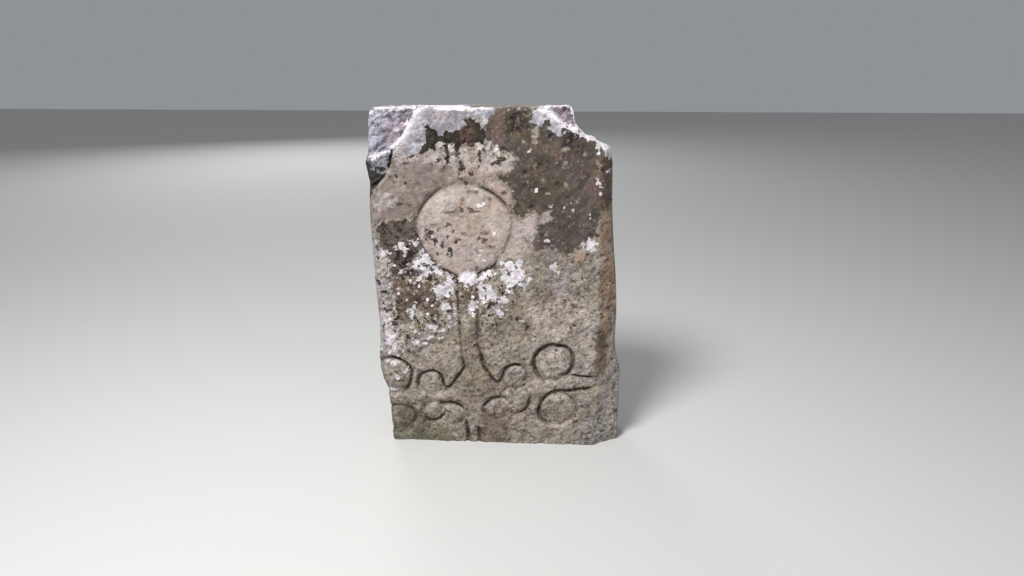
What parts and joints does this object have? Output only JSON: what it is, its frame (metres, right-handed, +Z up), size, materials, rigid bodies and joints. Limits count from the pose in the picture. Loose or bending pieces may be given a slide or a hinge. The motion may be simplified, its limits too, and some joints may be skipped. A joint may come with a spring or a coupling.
{
  "type": "grave slab",
  "caption": "Upright weathered sandstone grave slab with an incised disc and cross outline, broken at both top corners and cut off flat at ground level.",
  "frame": {"origin": "on the ground, under the middle of the slab's width and thickness", "axes": "+Z up the height of the slab, +Y from the carved face to the back, +X to the right of someone who looks at the carved face"},
  "size_m": [0.64, 0.1499, 0.8817],
  "materials": {
    "stone": "matte"
  },
  "bodies": {
    "root": {"grave_slab": "stone"}
  },
  "joints": []
}
